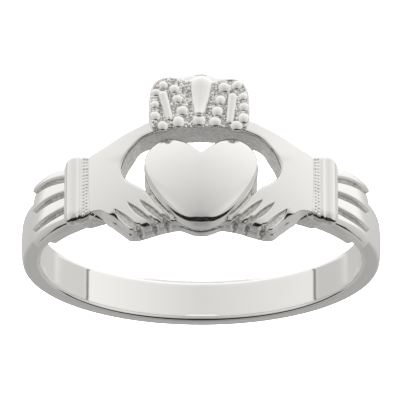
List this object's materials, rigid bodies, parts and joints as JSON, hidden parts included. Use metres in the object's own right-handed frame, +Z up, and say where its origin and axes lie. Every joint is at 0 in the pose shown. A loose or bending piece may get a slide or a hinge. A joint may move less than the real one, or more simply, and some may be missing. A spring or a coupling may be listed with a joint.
{
  "type": "claddagh ring",
  "caption": "Cast silver finger ring: two cuffed hands hold a domed heart under a beaded crown, on a plain band.",
  "frame": {"origin": "middle of the ring's outline on the surface it rests on", "axes": "+Z up, -Y towards the head with the heart, X across the head; the finger hole's axis leans 12.4 degrees from +Z towards +Y"},
  "size_m": [0.0194, 0.0218, 0.0082],
  "materials": {
    "silver": "polished silver"
  },
  "bodies": {
    "root": {"claddagh_ring": "silver"}
  },
  "joints": []
}
